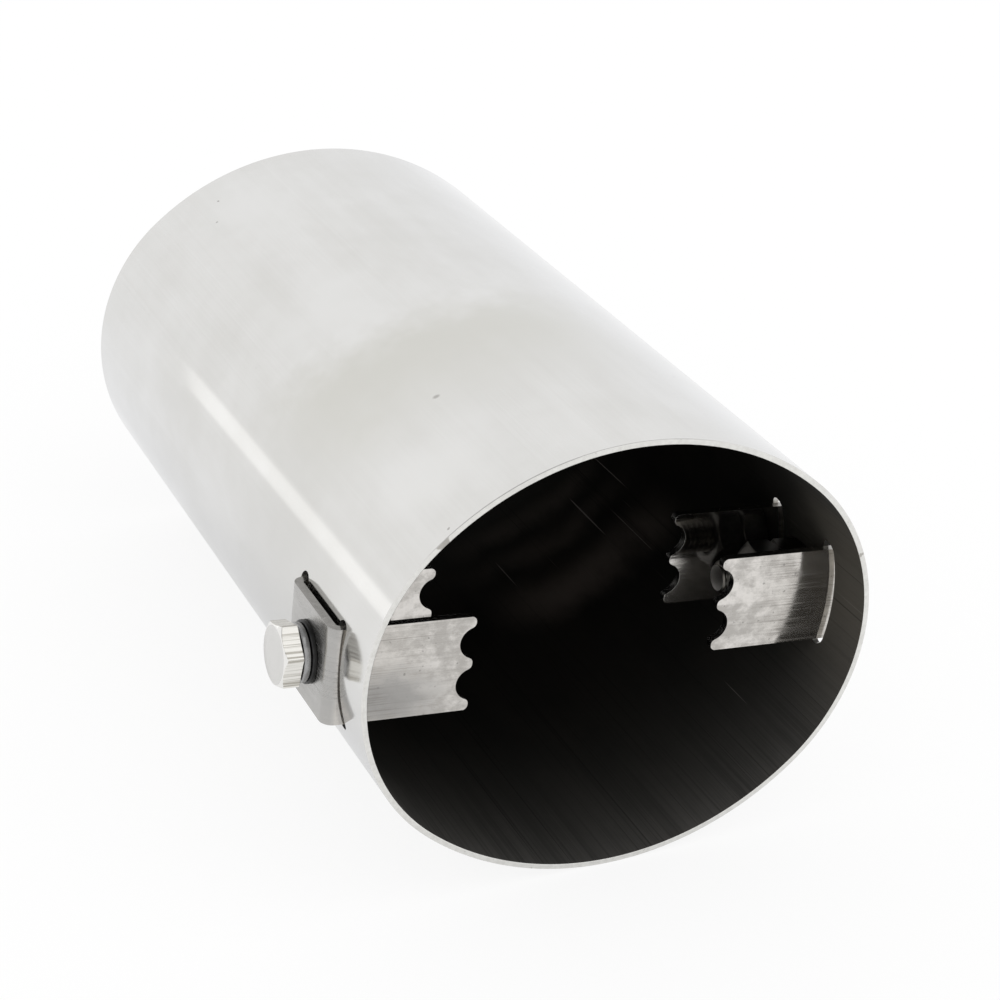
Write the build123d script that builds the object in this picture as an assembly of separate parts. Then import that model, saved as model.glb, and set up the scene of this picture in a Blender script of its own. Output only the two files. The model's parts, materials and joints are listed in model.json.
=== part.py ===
from build123d import *
import math
import os

# Oval exhaust tip, in millimetres: a straight oval steel tube that slips over the end of an exhaust pipe.
# On each side of its inlet end a U-shaped strip reaches in through two slots with a pair of toothed legs.
# A hex bolt, screwed into two nuts inside the wall, draws the strip in until the teeth bite on the pipe.
# +X runs across the tube to the right clamp, +Y from the inlet to the outlet, +Z up.
# The origin lies under the middle of the tube, on the surface that it rests on.

# Tube
TUBE_WIDTH = 90.0
TUBE_HEIGHT = 77.0
TUBE_LENGTH = 150.0
TUBE_WALL = 1.0
OVAL_FLATNESS = 0.6
RIM_EDGE_BREAK = 0.2

# Clamp strips, folded to a U
STRIP_THICKNESS = 1.5
STRIP_WIDTH = 17.0
BRACKET_SPAN = 19.0
BRACKET_SETBACK = 10.5
FOLD_INSIDE_RADIUS = 0.6
WEB_STANDOFF = 0.3
JAW_GAP = 44.0

# Each clamp's turn about the upright axis and lean in its loose slots, in degrees,
# and its height over the tube's axis
CLAMPS = {"right": (0.0, 4.5, -1.1), "left": (180.0, -4.5, 0.0)}

# Teeth at the ends of the legs, with a round scallop between each two
TOOTH_COUNT = 3
TOOTH_PITCH = 7.5
SCALLOP_RADIUS = 2.9
SCALLOP_DEPTH = 2.5
TOOTH_ROUNDING = 0.95

# Slots in the tube's wall, with round ends beyond the width of the leg
SLOT_SIDE_CLEARANCE = 0.9
SLOT_END_CLEARANCE = 1.2

# Hex bolts
BOLT_DIAMETER = 6.0
BOLT_LENGTH = 22.0
BOLT_END_CHAMFER = 0.8
HEAD_ACROSS_FLATS = 10.0
HEAD_HEIGHT = 3.4
HEAD_TURN = 17.0
HEAD_CHAMFER_ANGLE = 30.0
HEAD_FACE_SHARE = 0.95
BOLT_HOLE_CLEARANCE = 0.3
BOLT_RUNNING_CLEARANCE = 0.05

# Flat washer on the strip, and a split spring washer under the bolt's head
FLAT_WASHER_DIAMETER = 10.4
FLAT_WASHER_THICKNESS = 0.8
FLAT_WASHER_EDGE_BREAK = 0.2
SPRING_WASHER_DIAMETER = 9.8
SPRING_WASHER_THICKNESS = 1.2
SPRING_WASHER_RISE = 0.2
SPRING_WASHER_SPLIT = 1.2
SPRING_WASHER_TURN = 200.0

# Nuts: one against the inside of the wall, and one that locks it
NUT_ACROSS_FLATS = 10.0
NUT_HEIGHT = 5.0
NUT_SEAT_CLEARANCE = 0.02

# Places worked out from the sizes above
AXIS_HEIGHT = TUBE_HEIGHT / 2
LONG_HALF = max(TUBE_WIDTH, TUBE_HEIGHT) / 2
SHORT_HALF = min(TUBE_WIDTH, TUBE_HEIGHT) / 2
END_RADIUS = SHORT_HALF - OVAL_FLATNESS * (LONG_HALF - SHORT_HALF)
END_CENTRE = LONG_HALF - END_RADIUS
FLATTENING = SHORT_HALF - END_RADIUS
FLAT_RADIUS = (END_CENTRE ** 2 + SHORT_HALF ** 2 - END_RADIUS ** 2) / (2 * FLATTENING)
FLAT_CENTRE = SHORT_HALF - FLAT_RADIUS
WALL_X = (TUBE_WIDTH - TUBE_WALL) / 2
INLET_Y = -TUBE_LENGTH / 2
BRACKET_Y = INLET_Y + BRACKET_SETBACK + BRACKET_SPAN / 2
LEG_Y = (BRACKET_SPAN - STRIP_THICKNESS) / 2
TIP_X = JAW_GAP / 2
WEB_INSIDE_X = TUBE_WIDTH / 2 + WEB_STANDOFF
WEB_OUTSIDE_X = WEB_INSIDE_X + STRIP_THICKNESS
SPRING_WASHER_X = WEB_OUTSIDE_X + FLAT_WASHER_THICKNESS
SPRING_WASHER_HEIGHT = SPRING_WASHER_THICKNESS + SPRING_WASHER_RISE
HEAD_SEAT_X = SPRING_WASHER_X + SPRING_WASHER_HEIGHT
BOLT_HOLE_RADIUS = BOLT_DIAMETER / 2 + BOLT_HOLE_CLEARANCE
BOLT_RUNNING_RADIUS = BOLT_DIAMETER / 2 + BOLT_RUNNING_CLEARANCE


def outward(x):
    """Plane across the bolt's axis at distance x from the tube's axis, facing away from the tube."""
    return Plane(origin=(x, 0, 0), x_dir=(0, 1, 0), z_dir=(1, 0, 0))


def seat_clamp_piece(piece, side):
    """Moves a clamp's piece from its own frame to its side of the tube, and leans it about the wall."""
    turn, lean, rise = CLAMPS[side]
    place = Location((0, BRACKET_Y, AXIS_HEIGHT + rise), (0, 0, turn))
    return place * Pos(WALL_X, 0, 0) * Rot(0, lean, 0) * Pos(-WALL_X, 0, 0) * piece


def chamfered_hexagon(across_flats, height, both_ends):
    """Hexagonal block on the XY plane, its corners turned off at a shallow cone."""
    flat_radius = across_flats / 2
    corner_radius = flat_radius / math.cos(math.radians(30))
    face_radius = flat_radius * HEAD_FACE_SHARE
    drop = (corner_radius - face_radius) * math.tan(math.radians(HEAD_CHAMFER_ANGLE))
    block = extrude(RegularPolygon(flat_radius, 6, major_radius=False), height)
    low_radius = face_radius if both_ends else corner_radius
    low_drop = drop if both_ends else 0
    outline = [(0, 0), (low_radius, 0)]
    if both_ends:
        outline.append((corner_radius, low_drop))
    outline += [(corner_radius, height - drop), (face_radius, height), (0, height)]
    turned = revolve(Plane.XZ * make_face(Polyline(*outline, close=True)), Axis.Z)
    return block & turned


def oval(inset):
    """Oval of four tangent arcs, set in from the tube's outside."""
    meet = math.degrees(math.atan2(-FLAT_CENTRE, END_CENTRE))
    arcs = []
    for turn in (0, 180):
        end = CenterArc((END_CENTRE, 0), END_RADIUS - inset, -meet, 2 * meet)
        flat = CenterArc((0, FLAT_CENTRE), FLAT_RADIUS - inset, meet, 180 - 2 * meet)
        arcs += [Rot(0, 0, turn) * end, Rot(0, 0, turn) * flat]
    return Rot(0, 0, 0 if TUBE_WIDTH > TUBE_HEIGHT else 90) * make_face(arcs)


def tube_shell():
    """Oval tube with plain ends, two slots and a bolt hole through each side."""
    start = Plane(origin=(0, INLET_Y, AXIS_HEIGHT), x_dir=(1, 0, 0), z_dir=(0, 1, 0))
    shell = extrude(start * (oval(0) - oval(TUBE_WALL)), TUBE_LENGTH)
    shell = chamfer(shell.edges().filter_by(GeomType.CIRCLE), RIM_EDGE_BREAK)
    slot_width = STRIP_THICKNESS + 2 * SLOT_SIDE_CLEARANCE
    slot_length = STRIP_WIDTH + 2 * SLOT_END_CLEARANCE
    outline = Circle(BOLT_HOLE_RADIUS)
    for leg in (-LEG_Y, LEG_Y):
        outline += Pos(leg, 0) * SlotOverall(slot_length, slot_width, rotation=90)
    openings = extrude(outward(TIP_X) * outline, WEB_INSIDE_X - TIP_X)
    for side in CLAMPS:
        shell -= seat_clamp_piece(openings, side)
    return shell


def clamp_bracket():
    """Strip folded to a U, its web outside the tube, with toothed legs and a bolt hole in the web."""
    depth = WEB_OUTSIDE_X - TIP_X
    outside = Pos(TIP_X + depth / 2, 0) * Rectangle(depth, BRACKET_SPAN)
    outside = fillet(outside.vertices().group_by(Axis.X)[-1], FOLD_INSIDE_RADIUS + STRIP_THICKNESS)
    reach = WEB_INSIDE_X - TIP_X
    inside = Pos(TIP_X + reach / 2, 0) * Rectangle(reach, BRACKET_SPAN - 2 * STRIP_THICKNESS)
    inside = fillet(inside.vertices().group_by(Axis.X)[-1], FOLD_INSIDE_RADIUS)
    strip = extrude(Plane.XY.offset(-STRIP_WIDTH / 2) * (outside - inside), STRIP_WIDTH)
    side_view = Pos(TIP_X + depth / 2, 0) * Rectangle(depth, STRIP_WIDTH)
    first = -(TOOTH_COUNT - 2) * TOOTH_PITCH / 2
    for index in range(TOOTH_COUNT - 1):
        centre = Pos(TIP_X + SCALLOP_DEPTH - SCALLOP_RADIUS, first + index * TOOTH_PITCH)
        side_view -= centre * Circle(SCALLOP_RADIUS)
    side_view = fillet(side_view.vertices().group_by(Axis.X)[0], TOOTH_ROUNDING)
    teeth = extrude(Plane.XZ * side_view, BRACKET_SPAN, both=True)
    hole = extrude(outward(WEB_INSIDE_X) * Circle(BOLT_HOLE_RADIUS), STRIP_THICKNESS)
    return (strip & teeth) - hole


def bolt():
    """Hex bolt, threaded to the head, with its head outside and its end between the legs."""
    head = Rot(0, 0, HEAD_TURN) * chamfered_hexagon(HEAD_ACROSS_FLATS, HEAD_HEIGHT, False)
    head = outward(HEAD_SEAT_X) * head
    shank = extrude(outward(HEAD_SEAT_X - BOLT_LENGTH) * Circle(BOLT_DIAMETER / 2), BOLT_LENGTH)
    shank = chamfer(shank.edges().group_by(Axis.X)[0], BOLT_END_CHAMFER)
    return head + shank


def flat_washer():
    """Plain round washer on the strip's web."""
    ring = Circle(FLAT_WASHER_DIAMETER / 2) - Circle(BOLT_HOLE_RADIUS)
    washer = extrude(outward(WEB_OUTSIDE_X) * ring, FLAT_WASHER_THICKNESS)
    outer_edge = washer.edges().group_by(Axis.X)[-1].sort_by(SortBy.RADIUS)[-1]
    return chamfer(outer_edge, FLAT_WASHER_EDGE_BREAK)


def spring_washer():
    """Split ring that climbs a little from one end to the other, half flattened by the bolt."""
    outside_radius = SPRING_WASHER_DIAMETER / 2
    middle_radius = (outside_radius + BOLT_RUNNING_RADIUS) / 2
    turn = 1 - SPRING_WASHER_SPLIT / (2 * math.pi * middle_radius)
    path = Helix(SPRING_WASHER_RISE / turn, SPRING_WASHER_RISE, middle_radius)
    section = Plane(path @ 0, x_dir=(1, 0, 0), z_dir=path % 0)
    ring = Rectangle(outside_radius - BOLT_RUNNING_RADIUS, SPRING_WASHER_THICKNESS)
    washer = sweep(section * ring, path, is_frenet=True)
    seat = outward(SPRING_WASHER_X + SPRING_WASHER_THICKNESS / 2)
    return seat * Rot(0, 0, SPRING_WASHER_TURN) * washer


def nut_seat():
    """Distance from the tube's axis at which the leaning nut's outer face meets the inside of the wall."""
    half_flat = NUT_ACROSS_FLATS / 2
    if TUBE_WIDTH > TUBE_HEIGHT:
        wall = END_CENTRE + math.sqrt((END_RADIUS - TUBE_WALL) ** 2 - half_flat ** 2)
    else:
        wall = FLAT_CENTRE + math.sqrt((FLAT_RADIUS - TUBE_WALL) ** 2 - half_flat ** 2)
    lean = math.radians(max(abs(lean) for turn, lean, rise in CLAMPS.values()))
    return WALL_X - (WALL_X - wall) * math.cos(lean) - half_flat * math.sin(lean) - NUT_SEAT_CLEARANCE


def nut(place):
    """Hex nut on the bolt, counted inwards from the wall: first the clamp's nut, then the lock nut."""
    block = chamfered_hexagon(NUT_ACROSS_FLATS, NUT_HEIGHT, True)
    block -= extrude(Circle(BOLT_RUNNING_RADIUS), NUT_HEIGHT)
    return outward(nut_seat() - place * (NUT_HEIGHT + NUT_SEAT_CLEARANCE)) * block


def main():
    os.makedirs("parts", exist_ok=True)
    export_step(tube_shell(), "parts/tube_shell.step")
    clamp_pieces = {
        "clamp_bracket": clamp_bracket(),
        "bolt": bolt(),
        "flat_washer": flat_washer(),
        "spring_washer": spring_washer(),
        "clamp_nut": nut(1),
        "lock_nut": nut(2),
    }
    for side in CLAMPS:
        for name, piece in clamp_pieces.items():
            export_step(seat_clamp_piece(piece, side), f"parts/{name}_{side}.step")


main()
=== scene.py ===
# %% [markdown]
# # An oval exhaust tip with two screw clamps
# The tip is a straight oval steel tube that slips over the end of a car's exhaust pipe. On each side a strip
# of steel, folded to a U, reaches in through two slots with toothed legs, and a hex bolt draws it tight.
# The solids are already the right size and in the right place, so this lesson loads them as a fixed frame,
# puts finely made pieces in their place and gives every surface its finish. Lengths are in metres, and MM
# turns a size in millimetres into them.

# %% Load the solids as a fixed frame
import json
import math

import bpy
from mathutils import Matrix, Vector


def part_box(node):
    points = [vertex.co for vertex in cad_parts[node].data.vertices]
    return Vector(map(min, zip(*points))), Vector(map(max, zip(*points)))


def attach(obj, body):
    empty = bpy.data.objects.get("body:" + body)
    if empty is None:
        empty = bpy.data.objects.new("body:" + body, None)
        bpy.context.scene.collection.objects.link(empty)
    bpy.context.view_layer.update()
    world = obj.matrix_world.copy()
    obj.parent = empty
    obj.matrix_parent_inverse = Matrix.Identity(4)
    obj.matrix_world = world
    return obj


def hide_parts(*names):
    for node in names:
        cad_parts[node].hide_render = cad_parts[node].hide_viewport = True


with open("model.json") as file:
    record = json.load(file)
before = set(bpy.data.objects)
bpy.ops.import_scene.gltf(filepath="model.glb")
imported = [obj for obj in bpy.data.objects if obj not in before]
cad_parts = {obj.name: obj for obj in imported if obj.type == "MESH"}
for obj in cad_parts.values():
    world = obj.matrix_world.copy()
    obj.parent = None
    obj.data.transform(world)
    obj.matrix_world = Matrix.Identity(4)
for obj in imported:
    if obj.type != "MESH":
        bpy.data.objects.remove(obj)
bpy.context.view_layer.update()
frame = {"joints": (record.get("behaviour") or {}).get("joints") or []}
MM = 0.001

# %% [markdown]
# ## Sizes from the frame
# A piece that stands in for a solid has to agree with it, so its sizes are read from the frame where the
# frame has them. The tube gives its own width, height and length. Each bolt's joint gives the point under
# the bolt's head and the direction out of the tube, and those two make the clamp's own frame: x runs outwards
# along the bolt, y along the tube and z across the strip. All pieces of a clamp are drawn in that frame.

# %% Measure the tube and set up a frame for each clamp
tube_low, tube_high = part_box("tube_shell")
TUBE_WIDTH, TUBE_LENGTH, TUBE_HEIGHT = tube_high - tube_low
AXIS_HEIGHT = TUBE_HEIGHT / 2
HEAD_SEAT_X = 49.0 * MM


def clamp_frame(side):
    """Matrix from a clamp's own frame to the frame of the whole part."""
    joint = next(j for j in frame["joints"] if j["name"] == f"{side}_bolt_turn")
    outward = Vector(joint["axis"]).normalized()
    along = Vector((0, 1 if outward.x > 0 else -1, 0))
    across = outward.cross(along)
    origin = Vector(joint["pos_m"]) - outward * HEAD_SEAT_X
    return Matrix.Translation(origin) @ Matrix((outward, along, across)).transposed().to_4x4()


CLAMP_FRAMES = {side: clamp_frame(side) for side in ("right", "left")}
print("tube", [round(size / MM, 2) for size in (TUBE_WIDTH, TUBE_LENGTH, TUBE_HEIGHT)], "mm")

# %% [markdown]
# ## Writing shaders as sums
# A finish is a tree of nodes. Adding nodes one by one hides the idea behind the wiring, so one small class
# stands for a socket and takes Python's operators: each + or * adds the Math node that it means. Every other
# node comes from one method, which takes the node's type, its settings and what its sockets get.

# %% The socket class
class Wire:
    """A node's output, on which Python's operators add Math nodes."""

    def __init__(self, finish, socket):
        self.finish = finish
        self.socket = socket

    def math(self, operation, *values):
        return self.finish.node("ShaderNodeMath", {"operation": operation}, dict(enumerate(values)))

    def __add__(self, other):
        return self.math("ADD", self, other)

    def __sub__(self, other):
        return self.math("SUBTRACT", self, other)

    def __rsub__(self, other):
        return self.math("SUBTRACT", other, self)

    def __mul__(self, other):
        return self.math("MULTIPLY", self, other)

    def __abs__(self):
        return self.math("ABSOLUTE", self)

    __radd__ = __add__
    __rmul__ = __mul__

    def least(self, other):
        return self.math("MINIMUM", self, other)

    def most(self, other):
        return self.math("MAXIMUM", self, other)

    def exp(self):
        return self.math("EXPONENT", self)


print("operators ready")

# %% The finish class
class Finish:
    """The node tree of a material or of the world."""

    def __init__(self, owner):
        owner.use_nodes = True
        self.owner = owner
        self.tree = owner.node_tree
        self.tree.nodes.clear()

    def node(self, kind, settings=None, inputs=None, output=0):
        """Adds a node, sets it up, fills or links its sockets, and gives one of its outputs."""
        made = self.tree.nodes.new(kind)
        for name, value in (settings or {}).items():
            setattr(made, name, value)
        for name, value in (inputs or {}).items():
            if isinstance(value, Wire):
                self.tree.links.new(value.socket, made.inputs[name])
            else:
                made.inputs[name].default_value = value
        return Wire(self, made.outputs[output]) if len(made.outputs) else None

    def surface(self, **sockets):
        """The shader itself, linked to the output. Socket names are written with _ for a space."""
        inputs = {name.replace("_", " "): value for name, value in sockets.items()}
        shader = self.node("ShaderNodeBsdfPrincipled", None, inputs)
        self.node("ShaderNodeOutputMaterial", None, {"Surface": shader})
        print("finish", self.owner.name, "has", len(self.tree.nodes), "nodes")
        return self.owner


def new_finish(name, attribute=None):
    """An empty finish, and coordinates in metres: the piece's own, or those that it keeps in an attribute."""
    finish = Finish(bpy.data.materials.new(name))
    if attribute:
        return finish, finish.node("ShaderNodeAttribute", {"attribute_name": attribute}, output="Vector")
    return finish, finish.node("ShaderNodeTexCoord", output="Object")


print("finish class ready")

# %% [markdown]
# ## Marks on steel
# Nearly every mark here is made in the same way: noise is stretched in one direction, a band of its values is
# picked out, and that share mixes two colours. Pictures of real steel would be quicker, but they blur close
# up and show seams, and noise does neither. Coordinates are in metres, so noise at a scale of 1000 changes
# about once in a millimetre.

# %% Noise and distances
EVEN = (1.0, 1.0, 1.0)


def stretch(where, scale):
    """Coordinates multiplied by a scale for each direction."""
    return where.finish.node("ShaderNodeVectorMath", {"operation": "MULTIPLY"}, {0: where, 1: scale})


def noise(where, scale, detail=2.0, rough=0.5):
    """Soft random values from 0 to 1, over coordinates stretched by a scale for each direction."""
    inputs = {"Vector": stretch(where, scale), "Scale": 1.0, "Detail": detail, "Roughness": rough}
    return where.finish.node("ShaderNodeTexNoise", {"noise_dimensions": "3D"}, inputs)


def parts(vector):
    """The three numbers of a vector."""
    return [vector.finish.node("ShaderNodeSeparateXYZ", None, {0: vector}, axis) for axis in "XYZ"]


def distance(where, centre, scale=EVEN):
    """Distance from a centre, with each direction counted by its own scale."""
    offset = where.finish.node("ShaderNodeVectorMath", {"operation": "SUBTRACT"}, {0: where, 1: centre})
    offset = stretch(offset, scale)
    return where.finish.node("ShaderNodeVectorMath", {"operation": "LENGTH"}, {0: offset}, "Value")


print("noise and distances ready")

# %% Bands of values, colours and bumps
COLOUR_A, COLOUR_B, COLOUR_RESULT = 6, 7, 2


def band(value, low, high, to_low=0.0, to_high=1.0):
    """Value eased from one range into another, and held at its ends."""
    inputs = {"Value": value, "From Min": low, "From Max": high, "To Min": to_low, "To Max": to_high}
    return value.finish.node("ShaderNodeMapRange", {"interpolation_type": "SMOOTHSTEP"}, inputs)


def between(value, rise, fall):
    """1 over a stretch of values, eased in over one range and out over another."""
    return band(value, *rise) * band(value, *fall, 1.0, 0.0)


def spot(reach, near, far):
    """1 as far as near, eased to 0 at far, by a distance."""
    return band(reach, near, far, 1.0, 0.0)


def tint(share, low, high):
    """Colour between two colours, tuples or wires, by a share from 0 to 1."""
    low, high = [(*colour, 1.0) if isinstance(colour, tuple) else colour for colour in (low, high)]
    inputs = {0: share, COLOUR_A: low, COLOUR_B: high}
    return share.finish.node("ShaderNodeMix", {"data_type": "RGBA"}, inputs, COLOUR_RESULT)


def bump(height, depth, strength):
    """Surface normal disturbed by a height, with the depth of its full range."""
    inputs = {"Height": height, "Distance": depth, "Strength": strength}
    return height.finish.node("ShaderNodeBump", None, inputs)


print("bands, colours and bumps ready")

# %% [markdown]
# ## Satin steel on the outside of the tube
# The sheet was brushed along its length before it was rolled, and then polished back, so it mirrors the white
# room softly. Very fine lines along the axis carry the brushing: noise stretched hundreds of times along y.
# A broad, faint noise varies the polish every few centimetres. A darker, slightly yellow band over the top is
# a painted dim reflection, and a darker patch low on the left side is a painted dark reflection. There is
# also a lighter patch near the front of the top, one nick and a few dark specks. Each is a share from 0 to 1
# that mixes in its own colour, with its border made uneven by the same noises, so nothing has a sharp
# outline.
# An anisotropic shader could draw out the reflections as brushing does, but it would show no lines close up,
# so the lines go into the colour, the roughness and the bump.

# %% Finish of the tube's outside
BRUSH = (2600.0, 9.0, 2600.0)
LENGTHWISE = (130.0, 3.0, 130.0)
CLOUD = (30.0, 18.0, 30.0)
BLOT = (85.0, 75.0, 85.0)
SPECK = (505.0, 390.0, 505.0)
DULL_SATIN, BRIGHT_SATIN = (0.682, 0.674, 0.650), (0.760, 0.755, 0.740)
DIM_REFLECTION_SATIN, LIGHTER_SATIN = (0.638, 0.630, 0.588), (0.785, 0.780, 0.765)
DARK_REFLECTION_SATIN, PITTED_SATIN = (0.610, 0.602, 0.580), (0.30, 0.29, 0.27)
GRAZING_TINT = (0.94, 0.945, 0.96, 1.0)
DIM_BAND_ALONG = (-54 * MM, -22 * MM), (-21 * MM, -3 * MM)
DIM_BAND_ACROSS = (-44 * MM, -30 * MM), (2 * MM, 26 * MM)
DIM_BAND_HEIGHT = (42 * MM, 56 * MM)
LIGHTER_PATCH = Vector((-29.0, -58.0, 67.5)) * MM
DARK_REFLECTION_CENTRE = Vector((-45.0, -30.0, 34.0)) * MM
NICK, NICK_SCALE = Vector((-19.5, -40.5, 73.1)) * MM, (0.75, 0.9, 0.75)


def satin_outside():
    """Brushed and polished steel with marks, and with a painted dim reflection and a painted dark reflection.
    """
    finish, where = new_finish("satin_outside")
    brush = noise(where, BRUSH, detail=3.0)
    cloud = noise(where, CLOUD, detail=4.0, rough=0.6)
    blot = noise(where, BLOT, detail=4.0, rough=0.65)
    polish = cloud * 0.6 + blot * 0.15 + noise(where, LENGTHWISE, detail=2.0) * 0.15 + brush * 0.1
    steel = tint(band(polish, 0.36, 0.64), DULL_SATIN, BRIGHT_SATIN)
    across, along, height = parts(where)
    place = along + (cloud - 0.5) * (16 * MM) + (blot - 0.5) * (20 * MM)
    # The darker, slightly yellow band over the top is a painted dim reflection.
    dim_band = between(place, *DIM_BAND_ALONG) * between(across, *DIM_BAND_ACROSS)
    dim_band = dim_band * band(height, *DIM_BAND_HEIGHT)
    steel = tint(dim_band * 0.85, steel, DIM_REFLECTION_SATIN)
    # A lighter patch near the front of the top.
    reach = distance(where, LIGHTER_PATCH) + (blot - 0.5) * (10 * MM)
    steel = tint(spot(reach, 3 * MM, 12 * MM) * 0.6, steel, LIGHTER_SATIN)
    # A darker patch low on the left side, near the clamp, is a painted dark reflection.
    reach = distance(where, DARK_REFLECTION_CENTRE) + (cloud - 0.5) * (16 * MM)
    steel = tint(spot(reach, 8 * MM, 34 * MM) * 0.45, steel, DARK_REFLECTION_SATIN)
    specks = band(noise(where, SPECK, detail=0.0), 0.90, 0.92)
    nick = spot(distance(where, NICK, NICK_SCALE), 0.2 * MM, 0.65 * MM)
    colour = tint(specks.most(nick) * 0.6, steel, PITTED_SATIN)
    rough = 0.095 + brush * 0.04 + dim_band * 0.03
    normal = bump(brush, 0.004 * MM, 0.25)
    return finish.surface(
        Base_Color=colour, Metallic=1.0, Roughness=rough, Specular_Tint=GRAZING_TINT, Normal=normal
    )


SATIN_OUTSIDE = satin_outside()

# %% [markdown]
# ## Dark bore
# Inside, the sheet is a dull mill surface, and its colour is made almost black, which paints the shade deep
# in the tube. Towards both rims grey is painted in as light that falls in at the openings, with dark lines
# along the axis. That painted light fades with the depth under the nearer rim, as an exponential does. On the
# right side, low down, faint slanting rings are painted reflections of the far rim, a few fine scratches
# catch the light, and a lighter part beside the inlet is painted light from it. A dark metal would turn
# bright at a grazing view, so the bore is a dull coat without shine, and the lines are in its colour.

# %% Finish of the tube's inside
BORE_LINES = (2300.0, 5.0, 2300.0)
BORE_STREAKS = (420.0, 6.0, 420.0)
BORE_SCRATCHES = (1900.0, 28.0, 1900.0)
BORE_STAINS = (70.0, 35.0, 70.0)
SHADED_MILL_BLACK, SHADED_MILL_BROWN = (0.0032, 0.0030, 0.0026), (0.0085, 0.0072, 0.0060)
FAR_LIGHT_GREY = (0.0240, 0.0236, 0.0215)
LIT_RIM_DARK, LIT_RIM_PALE = (0.038, 0.037, 0.035), (0.072, 0.069, 0.065)
RIM_REFLECTION_TINT, INLET_LIGHT_TINT = (0.088, 0.073, 0.064), (0.110, 0.100, 0.083)
LINE_BLACK, SCRATCH_GREY = (0.003, 0.003, 0.003), (0.15, 0.14, 0.13)
RIM_LIGHT_DEPTH, FAR_LIGHT_DEPTH = 11.0 * MM, 45.0 * MM
RIGHT_SIDE = (10 * MM, 26 * MM)
LOW_DOWN = (18 * MM, 32 * MM)
# Each painted reflection ring has its middle and half its width in millimetres, and its strength
RIM_REFLECTION_RINGS = ((6.3, 11.0, 0.62), (22.5, 5.0, 0.22), (32.8, 5.5, 0.22))
RING_SLANT = 0.5
INLET_LIGHT_CENTRE = Vector((44.0, -73.0, 40.0)) * MM


def dark_bore():
    """Dull surface in painted shade, painted light at the rims, painted rim reflections and scratches."""
    finish, where = new_finish("dark_bore")
    lines = noise(where, BORE_LINES, detail=3.0, rough=0.6)
    streaks = noise(where, BORE_STREAKS, detail=3.0)
    stains = noise(where, BORE_STAINS, detail=4.0, rough=0.6)
    across, along, height = parts(where)
    depth = (along + TUBE_LENGTH / 2).least(TUBE_LENGTH / 2 - along)
    # Painted light that falls in at the openings: grey fading with the depth under the nearer rim.
    far_light, rim_light = [(depth * (-1 / reach)).exp() for reach in (FAR_LIGHT_DEPTH, RIM_LIGHT_DEPTH)]
    # The near-black base is the dull mill surface, dark enough to paint the shade deep inside the tube.
    colour = tint(band(stains, 0.35, 0.65), SHADED_MILL_BLACK, SHADED_MILL_BROWN)
    colour = tint(far_light, colour, FAR_LIGHT_GREY)
    grain = band(lines * 0.4 + streaks * 0.3 + stains * 0.3, 0.36, 0.62)
    colour = tint(rim_light, colour, tint(grain, LIT_RIM_DARK, LIT_RIM_PALE))
    right_side = band(across, *RIGHT_SIDE)
    # Painted reflections of the far rim: faint slanting rings, low on the right side.
    reflected_area = right_side * band(height, *LOW_DOWN, 1.0, 0.0) * band(stains, 0.30, 0.55, 0.5, 1.0)
    place = along + height * RING_SLANT + (stains - 0.5) * (12 * MM)
    for middle, half, share in RIM_REFLECTION_RINGS:
        reflection_ring = spot(abs(place - middle * MM), 0.0, half * MM) * share
        colour = tint(reflection_ring * reflected_area, colour, RIM_REFLECTION_TINT)
    # Painted light from the inlet: a lighter part of the right wall beside it.
    reach = distance(where, INLET_LIGHT_CENTRE) + (stains - 0.5) * (24 * MM)
    colour = tint(spot(reach, 4 * MM, 26 * MM) * 0.6, colour, INLET_LIGHT_TINT)
    dark_lines = band(lines * 0.7 + streaks * 0.3, 0.55, 0.68)
    colour = tint(dark_lines * 0.6, colour, LINE_BLACK)
    scratch = band(noise(where, BORE_SCRATCHES, detail=0.0), 0.80, 0.84)
    colour = tint(scratch * right_side * 0.6, colour, SCRATCH_GREY)
    return finish.surface(Base_Color=colour, Metallic=0.0, Roughness=0.6, Specular_IOR_Level=0.0)


DARK_BORE = dark_bore()

# %% [markdown]
# ## Cut edges
# The rims and the slots show the sheet's cut edge: bright, slightly warm, with fine marks of the saw and some
# small dark nicks. An edge is too narrow to show a direction, so plain noise does for both.

# %% Finish of the cut edges
SAW_MARKS = (1500.0, 1500.0, 1500.0)
EDGE_NICKS = (330.0, 330.0, 330.0)
SAWN_DARK, SAWN_LIGHT, NICK_BROWN = (0.62, 0.612, 0.585), (0.85, 0.845, 0.82), (0.22, 0.20, 0.17)


def cut_edge():
    """Sawn steel, bright between fine marks."""
    finish, where = new_finish("cut_edge")
    marks = noise(where, SAW_MARKS, detail=2.0)
    nicks = band(noise(where, EDGE_NICKS, detail=3.0), 0.66, 0.72)
    colour = tint(marks, SAWN_DARK, SAWN_LIGHT)
    colour = tint(nicks * 0.6, colour, NICK_BROWN)
    return finish.surface(Base_Color=colour, Metallic=1.0, Roughness=0.22 + marks * 0.2)


CUT_EDGE = cut_edge()

# %% [markdown]
# ## Making a piece
# Every piece is a list of points and faces, made by a formula, so its curves are as fine as they need to be.
# One function turns them into an object, lets it ride on its body, hides the solid that it stands for and
# notes the finish that it takes. A second one bakes modifiers into the mesh, where later steps need the
# result, and a third one spans faces between rows of points.

# %% Helpers that make an object, bake its modifiers and span its faces
def make_piece(name, points, faces, finishes, body, node):
    """Mesh object in the frame of the whole part, riding on a body in place of a solid."""
    mesh = bpy.data.meshes.new(name)
    mesh.from_pydata([tuple(p) for p in points], [], faces)
    mesh.update()
    mesh.shade_smooth()
    piece = bpy.data.objects.new(name, mesh)
    bpy.context.scene.collection.objects.link(piece)
    for finish in finishes:
        mesh.materials.append(finish)
    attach(piece, body)
    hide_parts(node)
    print("made", name, "with", len(faces), "faces")
    return piece


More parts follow.
